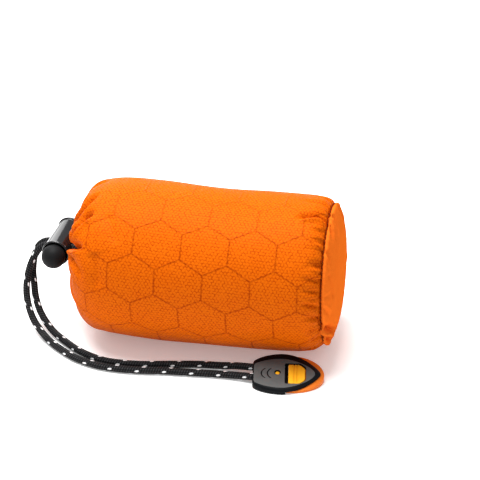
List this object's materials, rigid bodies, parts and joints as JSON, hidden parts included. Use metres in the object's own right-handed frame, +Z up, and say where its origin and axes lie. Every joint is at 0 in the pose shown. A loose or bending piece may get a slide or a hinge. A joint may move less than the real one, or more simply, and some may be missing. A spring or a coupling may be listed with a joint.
{
  "type": "emergency sleeping bag packed in a drawstring stuff sack",
  "caption": "Small filled drawstring stuff sack of ripstop fabric lying on its side, with a spring cord lock at its gathered mouth and a flat whistle on the cord's free ends.",
  "frame": {"origin": "under the middle of the sack, on the surface it lies on", "axes": "+Z up, +X along the sack from the drawn mouth to the base panel, -Y towards the side with the whistle"},
  "size_m": [0.1344, 0.0759, 0.0649],
  "materials": {
    "orange_fabric": "matte",
    "black_cord": "matte",
    "black_plastic": "satin",
    "orange_plastic": "satin"
  },
  "bodies": {
    "pack": {"sack_body": "orange_fabric", "base_panel": "orange_fabric", "cord_near": "black_cord", "cord_far": "black_cord", "lock_barrel": "black_plastic", "whistle_cover": "black_plastic", "whistle_body": "orange_plastic"},
    "button": {"lock_plunger": "black_plastic"}
  },
  "joints": [
    {"name": "button_press", "type": "slide", "parent": "pack", "child": "button", "axis": [0.0435, 0.9966, 0.0698], "range_m": [0, 0.003], "stiffness_N_per_m": 400, "springref_m": -0.004}
  ]
}
